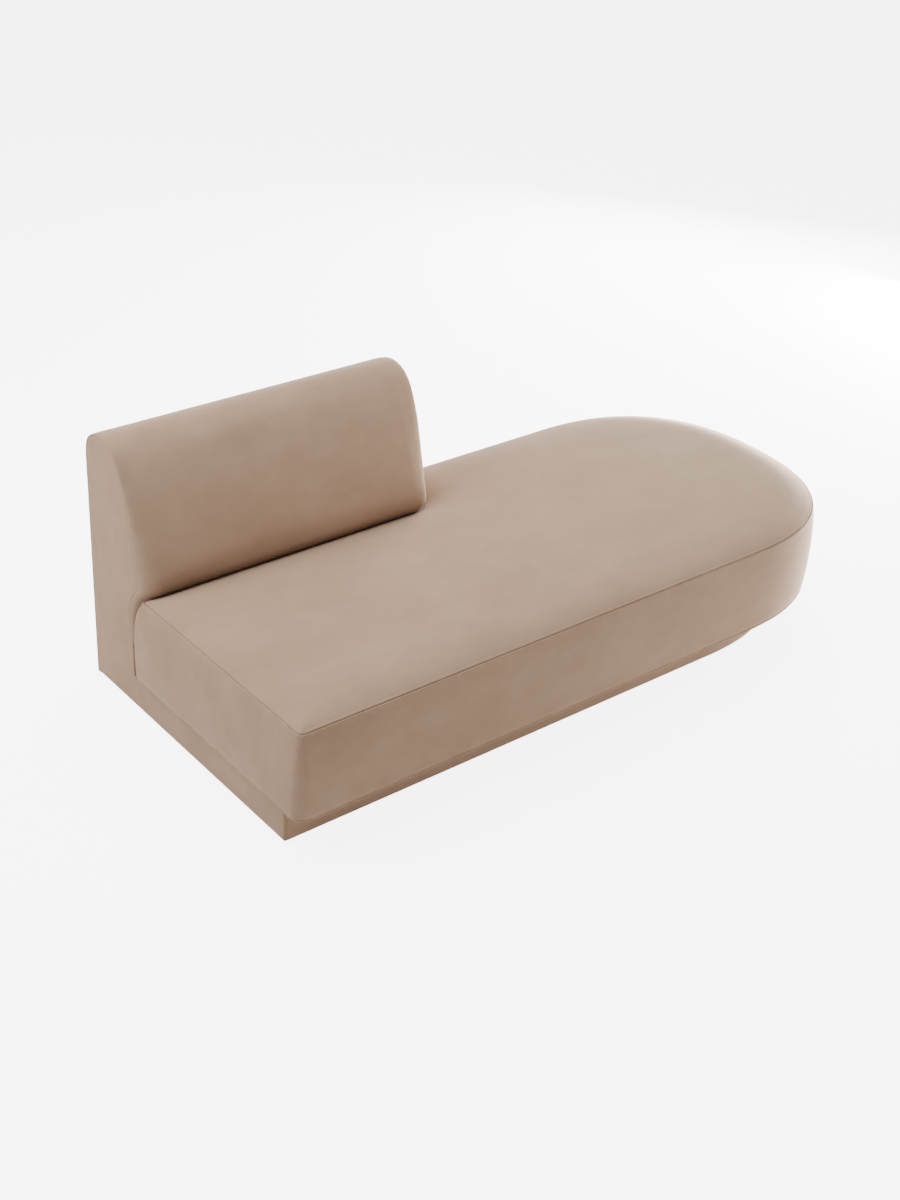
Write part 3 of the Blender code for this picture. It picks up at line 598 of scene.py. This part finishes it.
def seat_side():
    rings = [seat_ring(*ring) for ring in seat_wall_rings()]
    return np.concatenate(rings), grid_faces(len(rings), len(rings[0]), True)


def seat_top():
    """The crowned top panel: rings near its seam, then an even mesh of triangles."""
    contact = CONTACT[-1][1]
    edge = [(0.0157, 0.0046), (0.0158, 0.0026), (0.0163, 0.0010), (0.0172, 0.0002), (0.0184, 0.0),
            (0.0200, 0.0003), (0.0220, 0.0006), (0.0245, 0.0004), (0.0275, 0.0001), (0.032, 0.0), (0.038, 0.0),
            (0.046, 0.0), (0.056, 0.0)]
    rings = []
    for d, drop in edge:
        z = SEAM_Z + float(crown_height(d - SEAM_INSET)) - drop
        rings.append(lift(seat_outline(d, contact + d - SEAM_INSET), z))
    edge = np.concatenate(rings)
    faces = grid_faces(len(rings), len(rings[0]), True)
    outline = rings[-1][:, :2]
    points, triangles, count = fill(outline, 0.013)
    seam = seat_outline(SEAM_INSET, contact)
    z = SEAM_Z + crown_height(distance_to(points, seam))
    inner = np.column_stack([points, z])
    inner[:count] = rings[-1]
    shift = len(edge) - count
    inner_faces = [tuple(i + shift for i in face) for face in triangles]
    return np.concatenate([edge, inner[count:]]), faces + inner_faces


def build_seat():
    points, faces = seat_side()
    side = mesh_object("seat_boxing", points, faces, "velvet_side")
    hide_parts("seat_side_cover")
    x, y, z = points.T
    clear = np.maximum(x - NOTCH_X - 0.010, SEAT_REAR - 0.020 - y)  # how far it is from the wall at the backrest
    puff(side, ease(np.minimum(z - LIP_Z - 0.010, SEAM_Z - 0.004 - z) / 0.035) * ease(clear / 0.060))
    points, faces = seat_top()
    top = mesh_object("seat_top_panel", points, faces, "velvet")
    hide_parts("seat_top_cover")
    inside_seam = distance_to(points[:, :2], seat_outline(SEAM_INSET, CONTACT[-1][1]))
    puff(top, ease((inside_seam - 0.0065) / 0.05))
    return [side, top]


# ---- Backrest ----
def back_stations():
    left = LEFT + END_ROUND["left"][0] * (1 - np.cos(np.radians(np.linspace(0, 90, 16))))
    right = RIGHT - END_ROUND["right"][0] * (1 - np.cos(np.radians(np.linspace(0, 90, 18))))
    middle = np.linspace(left[-1], right[-1], 70)[1:-1]
    return np.concatenate([left, middle, right[::-1]])


def back_section(x, more, shape_at=None):
    """The section at x, or the one at shape_at brought to x, run down to the foot of the rear face."""
    curve = back_curve(*end_turn(x if shape_at is None else shape_at), more)
    foot = line((curve[-1, 0], curve[-1, 1]), (curve[-1, 0], BACK_LOW.z), 40)[1:]
    rear, low = REAR - more, BACK_LOW.z
    hem = np.array([(rear, low + 0.0012), (rear - 0.0012, low), (rear - 0.012, low)])
    section = np.concatenate([curve, foot, hem])
    return np.column_stack([np.full(len(section), x), section])


def build_back():
    """The panel over the face, the ridge and the rear, with both edges rolled into their seams."""
    stations = back_stations()
    rolls = [(0.0046, 0.0050), (0.0024, 0.0042), (0.0009, 0.0030), (0.0001, 0.0015), (0.0001, 0.0004)]
    rows = [back_section(LEFT + along, more, LEFT) for along, more in rolls]
    rows += [back_section(x, 0.0) for x in stations[1:-1]]
    rows += [back_section(RIGHT - along, more, RIGHT) for along, more in rolls[::-1]]
    columns = len(rows[0])
    panel = mesh_object("back_panel", np.concatenate(rows), grid_faces(len(rows), columns, False), "velvet_side")
    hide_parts("back_cover")
    points = points_of(panel.data)
    ends = np.minimum(points[:, 0] - LEFT, RIGHT - points[:, 0])
    free = ease((ends - 0.006) / 0.06) * ease((points[:, 2] - BACK_LOW.z - 0.02) / 0.06)
    free *= np.where(points[:, 1] < REAR - 0.100, ease((points[:, 2] - SEAM_Z - 0.005) / 0.060), 1.0)
    puff(panel, free)
    return panel


def end_outline(x, plinth, more):
    """Outline in (y, z) of an end panel, always with the same number of points."""
    upper = back_curve(*end_turn(x), more)
    upper = spread(upper[upper[:, 1] > LIP_Z + 0.018], 300)
    foot, rear = upper[0, 0], REAR - more
    if plinth:
        front, low, top = PLINTH_LOW.y + more, PLINTH_LOW.z + more - 0.0022, LIP_Z - PLINTH_GAP - more
        start = np.concatenate([line((rear, low), (front, low), 150), line((front, low), (front, top), 16),
                                line((front, top), (foot, top), 100), line((foot, top), tuple(upper[0]), 6)])
    else:
        low = LIP_Z + more
        start = np.concatenate([line((rear, low), (foot, low), 40), line((foot, low), tuple(upper[0]), 6)])
    return np.concatenate([start, upper, line(tuple(upper[-1]), start[0], 110)[1:]])


def end_ring(x, place, plinth, more):
    outline = end_outline(x, plinth, more)
    return np.column_stack([np.full(len(outline), place), outline])


def end_panel(name, x, side, plinth, more, roll, paint):
    """A slightly domed end panel whose edge rolls in to its seam."""
    bends = np.radians([0, 12, 28, 45, 60, 75, 90])
    rings = [end_ring(x, x - side * (roll + 0.0035), plinth, more)]
    for bend in bends:
        rings.append(end_ring(x, x - side * roll * (1 - math.sin(bend)), plinth, more + roll * (1 - math.cos(bend))))
    outline = rings[-1][:, 1:]
    points, faces, count = fill(outline, 0.010)
    dome = DOME * (1 - np.exp(-distance_to(points, outline)[count:] / 0.05))
    inner = np.column_stack([x + side * dome, points[count:]])
    shift = (len(rings) - 1) * count
    faces = grid_faces(len(rings), count, True) + [tuple(i + shift for i in face) for face in faces]
    panel = mesh_object(name, np.concatenate([*rings, inner]), faces, paint)
    even_normals(panel)
    return panel


def even_normals(piece):
    """Turns all the faces of a piece the same way."""
    made = bmesh.new()
    made.from_mesh(piece.data)
    bmesh.ops.recalc_face_normals(made, faces=made.faces)
    made.to_mesh(piece.data)
    made.free()


def build_ends():
    ends = []
    for word, x, side, plinth in (("left", LEFT, -1, True), ("right", RIGHT, 1, False)):
        panel = end_panel(f"{word}_end_panel", x, side, plinth, 0.0026, 0.0042, "velvet_side")
        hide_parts(f"{word}_end_cover")
        padding = end_panel(f"{word}_end_padding", x - side * 0.0024, side, plinth, 0.0085, 0.0050, "foam")
        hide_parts(f"{word}_end_pad")
        ends += [panel, padding]
    return ends


# ---- Plinth ----
def plinth_path(inset):
    front, far = PLINTH_LOW.y + inset, SIDE_HIGH.y - (PLINTH_LOW.y - SIDE_LOW.y) - inset
    step, centre = RIGHT - inset, PLINTH_HIGH.x - PLINTH_END_LENGTH
    left = LEFT + 0.0023 + inset
    r = max(PLINTH_CORNER - inset, 0.002)
    s = PLINTH_CORNER + inset
    mid = (SIDE_LOW.y + SIDE_HIGH.y) / 2
    return np.concatenate([
        arc(left + r, front + r, r, 180, 270, 10), line((left + r, front), (centre, front), 150),
        end_curve(centre, mid, PLINTH_END_LENGTH - inset, mid - front, 160), line((centre, far), (step + s, far), 50),
        arc(step + s, far + s, s, 270, 180, 8), line((step, far + s), (step, REAR - 0.0023), 12),
        np.array([(step, REAR - 0.0023)])])


def build_plinth():
    low, high = PLINTH_LOW.z, PLINTH_HIGH.z
    rows = [(low, 0.030), (low, 0.006), (low, 0.0028), (low + 0.0006, 0.0012), (low + 0.0020, 0.0003)]
    rows += [(z, 0.0) for z in np.linspace(low + 0.005, high - 0.004, 10)] + [(high - 0.001, 0.0008), (high, 0.004)]
    rings = [lift(plinth_path(inset), z) for z, inset in rows]
    columns = len(rings[0])
    band = mesh_object("plinth_band", np.concatenate(rings), grid_faces(len(rings), columns, False), "velvet_side")
    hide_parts("plinth_cover")
    return band


# ---- Sewing and stapling ----
def stitches(name, route, pitch, length, radius):
    """Short stitches along a seam, each a small four-sided spindle."""
    count = int(np.linalg.norm(np.diff(route, axis=0), axis=1).sum() / pitch)
    places = spread(route, count)
    along = np.gradient(places, axis=0)
    along /= np.linalg.norm(along, axis=1)[:, None]
    across = np.cross(along, [0.0, 0.0, 1.0])
    across[np.linalg.norm(across, axis=1) < 0.2] = (1.0, 0.0, 0.0)
    across /= np.linalg.norm(across, axis=1)[:, None]
    up = np.cross(across, along)
    turns = [(math.cos(a), math.sin(a)) for a in np.radians([45, 135, 225, 315])]
    points, faces = [], []
    for place, forward, sideways, above in zip(places, along, across, up):
        start = len(points)
        for shift, size in ((-0.5, 0.35), (0.0, 1.0), (0.5, 0.35)):
            centre = place + forward * shift * length
            points += [centre + radius * size * (c * sideways + s * above) for c, s in turns]
        for ring in (0, 4):
            faces += [tuple(start + ring + i for i in (k, (k + 1) % 4, (k + 1) % 4 + 4, k + 4)) for k in range(4)]
        faces += [(start + 3, start + 2, start + 1, start), tuple(start + 8 + k for k in range(4))]
    return mesh_object(name, points, faces, "thread")


def seam_threads():
    ring = lift(seat_outline(0.0157, CONTACT[-1][1] + 0.0027), SEAM_Z - 0.0040)
    made = [stitches("seat_seam_thread", np.concatenate([ring, ring[:1]]), *THREAD)]
    for word, x, inward in (("left", LEFT, 1), ("right", RIGHT, -1)):
        curve = back_section(x + inward * 0.0026, 0.0036, x)
        curve = curve[curve[:, 2] > LIP_Z]
        made.append(stitches(f"{word}_end_seam_thread", curve, *THREAD))
    return made


def build_dust_cover():
    """The cambric under the frame: pulled tight between its staples, with a shallow sag between the rails."""
    low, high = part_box("dust_cover")
    path = plinth_path(0.0130)
    path = path[path[:, 1] < high.y - 0.001]
    rear = line((path[-1, 0], high.y), (path[0, 0], high.y), 90)
    side = line((path[0, 0], high.y), tuple(path[0]), 80)
    outline = np.concatenate([path, rear, side])
    points, faces, count = fill(outline, 0.014)
    depth = distance_to(points, outline)
    depth[:count] = 0.0
    x, y = points[:, 0], points[:, 1]
    pull = np.sin(x * 2 * math.pi / 0.047) * np.sin(y * 2 * math.pi / 0.051) * np.exp(-depth / 0.030)
    sag = np.clip(depth / 0.120, 0, 1) ** 2
    z = (low.z + high.z) / 2 - 0.0006 * sag + 0.00025 * pull
    for index in range(1, 7):
        glide_low, glide_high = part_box(f"glide_{index}")
        middle = (glide_low + glide_high) / 2
        near = np.hypot(x - middle.x, y - middle.y)
        z += np.exp(-((near / 0.030) ** 2)) * 0.0003
    cover = mesh_object("dust_cloth", np.column_stack([points, z]), faces, "cambric")
    even_normals(cover)
    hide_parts("dust_cover")
    return cover, outline


def build_staples(outline):
    """Staples round the edge of the dust cover, each a flat crown with two bent ends."""
    closed = np.concatenate([outline, outline[:1]])
    places = spread(closed, 140, closed=True)
    along = np.gradient(places, axis=0)
    along /= np.linalg.norm(along, axis=1)[:, None]
    middle = places.mean(0)
    across = np.column_stack([-along[:, 1], along[:, 0]])
    across *= np.sign(((middle - places) * across).sum(1))[:, None]
    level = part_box("dust_cover")[0].z
    profile = [(-0.0052, 0.0010), (-0.0050, -0.0002), (-0.0042, -0.0005), (0.0042, -0.0005), (0.0050, -0.0002),
               (0.0052, 0.0010)]
    points, faces = [], []
    for place, forward, inward in zip(places, along, across):
        start = len(points)
        for reach, height in profile:
            centre = place + inward * 0.0050 + forward * reach
            for sideways, rise in ((-0.0006, 0.0), (0.0006, 0.0), (0.0006, 0.0005), (-0.0006, 0.0005)):
                points.append((*(centre + inward * sideways), level + height + rise))
        for ring in range(len(profile) - 1):
            base = start + ring * 4
            faces += [(base + k, base + (k + 1) % 4, base + 4 + (k + 1) % 4, base + 4 + k) for k in range(4)]
        last = start + (len(profile) - 1) * 4
        faces += [(start + 3, start + 2, start + 1, start), (last, last + 1, last + 2, last + 3)]
    staples = mesh_object("dust_cover_staples", points, faces, "steel", smooth=False)
    even_normals(staples)
    return staples


# ---- Camera, light and floor ----
def place_camera():
    """The photograph's view: from above the front left corner, looking at the middle of the seat."""
    data = bpy.data.cameras.new("camera")
    data.lens = 53.466
    data.clip_end = 100
    camera = bpy.data.objects.new("camera", data)
    bpy.context.scene.collection.objects.link(camera)
    yaw, pitch, roll = (math.radians(a) for a in (40.586, 31.277, 3.611))
    ahead = Vector((math.sin(yaw) * math.cos(pitch), math.cos(yaw) * math.cos(pitch), -math.sin(pitch)))
    level = Vector((math.cos(yaw), -math.sin(yaw), 0))
    above = level.cross(ahead)
    right = level * math.cos(roll) + above * math.sin(roll)
    up = above * math.cos(roll) - level * math.sin(roll)
    turn = Matrix((right, up, -ahead)).transposed()
    camera.matrix_world = Matrix.Translation(Vector((-0.1534, 0.0330, 0.1771)) - ahead * 5.159) @ turn.to_4x4()
    bpy.context.scene.camera = camera


def area_light(name, place, target, size, power, colour):
    data = bpy.data.lights.new(name, "AREA")
    data.shape = "RECTANGLE"
    data.size, data.size_y = size
    data.energy = power
    data.color = colour
    light = bpy.data.objects.new(name, data)
    bpy.context.scene.collection.objects.link(light)
    light.location = place
    light.rotation_euler = (Vector(target) - Vector(place)).to_track_quat("-Z", "Y").to_euler()


def place_lights():
    """A pale sky all round, brighter to the camera, soft lamps above it, and two low ones for the seat's walls."""
    world = bpy.data.worlds.new("studio")
    bpy.context.scene.world = world
    world.use_nodes = True
    tree = world.node_tree
    sky = tree.nodes["Background"]
    sky.inputs["Color"].default_value = (1.0, 1.0, 1.0, 1)
    sky.inputs["Strength"].default_value = SKY
    seen = tree.nodes.new("ShaderNodeBackground")
    seen.inputs["Color"].default_value = (1.0, 1.0, 1.0, 1)
    seen.inputs["Strength"].default_value = BACKDROP
    path = tree.nodes.new("ShaderNodeLightPath")
    mix = tree.nodes.new("ShaderNodeMixShader")
    tree.links.new(path.outputs["Is Camera Ray"], mix.inputs[0])
    tree.links.new(sky.outputs[0], mix.inputs[1])
    tree.links.new(seen.outputs[0], mix.inputs[2])
    tree.links.new(mix.outputs[0], tree.nodes["World Output"].inputs["Surface"])
    for lamp in LAMPS:
        area_light(*lamp)


def place_floor():
    """A pale floor. To the camera it also glows, so that it stays as white as a studio sweep."""
    reach = 40
    mesh = bpy.data.meshes.new("floor")
    mesh.from_pydata([(-reach, -reach, 0), (reach, -reach, 0), (reach, reach, 0), (-reach, reach, 0)], [],
                     [(0, 1, 2, 3)])
    floor = bpy.data.objects.new("floor", mesh)
    bpy.context.scene.collection.objects.link(floor)
    paint = Paint("floor", 0.9)
    paint.colour(paint.ramp(paint.noise(3.0), [(0.3, (0.90, 0.90, 0.90)), (0.7, (0.92, 0.92, 0.92))]))
    glow = paint.node("Emission", Strength=GLOW)
    off = paint.node("Emission", Strength=0.0)
    path = paint.node("LightPath")
    mix, both = paint.node("MixShader"), paint.node("AddShader")
    paint.link(path.outputs["Is Camera Ray"], mix.inputs[0])
    paint.link(off.outputs[0], mix.inputs[1])
    paint.link(glow.outputs[0], mix.inputs[2])
    paint.link(mix.outputs[0], both.inputs[0])
    paint.link(paint.shader.outputs[0], both.inputs[1])
    paint.link(both.outputs[0], paint.tree.nodes["Material Output"].inputs["Surface"])
    mesh.materials.append(paint.material)


paint_frame()
SEAT = build_seat()
BACK = [build_back(), *build_ends()]
BAND = build_plinth()
DUST_COVER, EDGE = build_dust_cover()
for piece, finish in [*((piece, "velvet") for piece in [*SEAT, *BACK, BAND]),
                      *((piece, "thread") for piece in seam_threads()),
                      (DUST_COVER, "cambric"), (build_staples(EDGE), "steel")]:
    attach(piece, "root")
    if "padding" in piece.name:
        finish = "foam"
place_camera()
place_lights()
place_floor()
